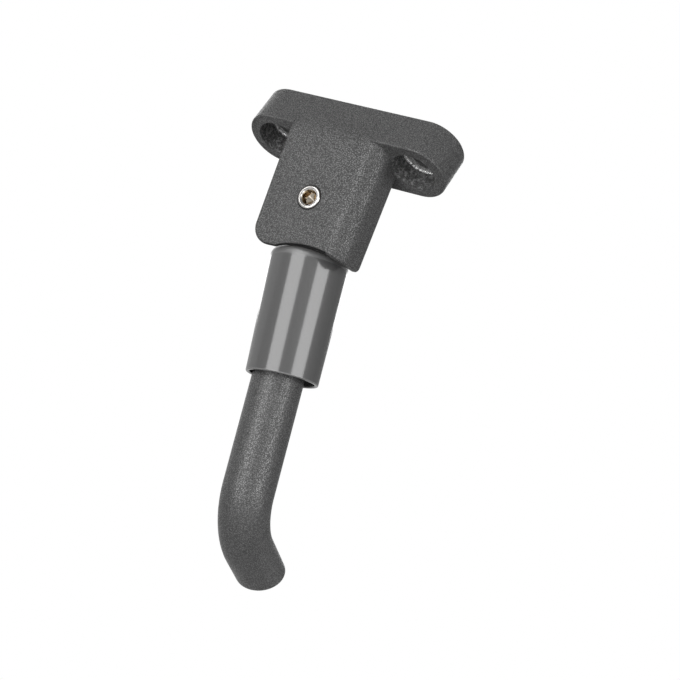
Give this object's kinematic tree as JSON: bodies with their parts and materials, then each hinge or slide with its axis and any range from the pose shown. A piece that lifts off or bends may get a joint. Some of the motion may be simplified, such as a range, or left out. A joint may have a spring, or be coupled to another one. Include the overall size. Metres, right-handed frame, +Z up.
{
  "type": "folding kickstand",
  "caption": "Folding kickstand for an electric scooter: a screw-on bracket, a round leg with a bent foot that turns on a pin, and a sprung sleeve over the leg's top.",
  "frame": {"origin": "middle of the flange's top face, half way between the two screw holes", "axes": "+Z up, out of the face that lies on the deck's underside; X along the flange, with the leg folding towards -X; +Y the way the foot points"},
  "size_m": [0.0653, 0.0858, 0.1166],
  "materials": {
    "powder_coat": "dark grey fine-grain powder coat",
    "sleeve_metal": "smooth dark grey gloss lacquer",
    "plated_steel": "bright nickel",
    "plain_steel": "zinc plated",
    "spring_steel": "drawn wire",
    "bush_brass": "turned",
    "white_nylon": "moulded",
    "black_nylon": "moulded"
  },
  "bodies": {
    "bracket": {"mount_bracket": "powder_coat", "pivot_pin": "plated_steel", "front_washer": "plain_steel", "rear_washer": "plain_steel", "nut_washer": "plain_steel", "lock_nut": "plain_steel", "nut_insert": "white_nylon"},
    "leg": {"eye_stud": "plain_steel", "eye_bush": "bush_brass", "stud_pin": "plain_steel", "spring_seat": "plain_steel", "sleeve_spring": "spring_steel", "leg_rod": "powder_coat"},
    "sleeve": {"spring_sleeve": "sleeve_metal", "sleeve_bush": "black_nylon"}
  },
  "joints": [
    {"name": "leg_fold", "type": "hinge", "parent": "bracket", "child": "leg", "pos_m": [-0.00115, -0.00081, -0.03022], "axis": [0, 0.9063, 0.4226], "range_deg": [0, 95]},
    {"name": "sleeve_slide", "type": "slide", "parent": "leg", "child": "sleeve", "axis": [0.1495, 0.4179, -0.8961], "range_m": [0, 0.004], "stiffness_N_per_m": 4270, "springref_m": -0.004, "deforming": ["sleeve_spring"]}
  ]
}
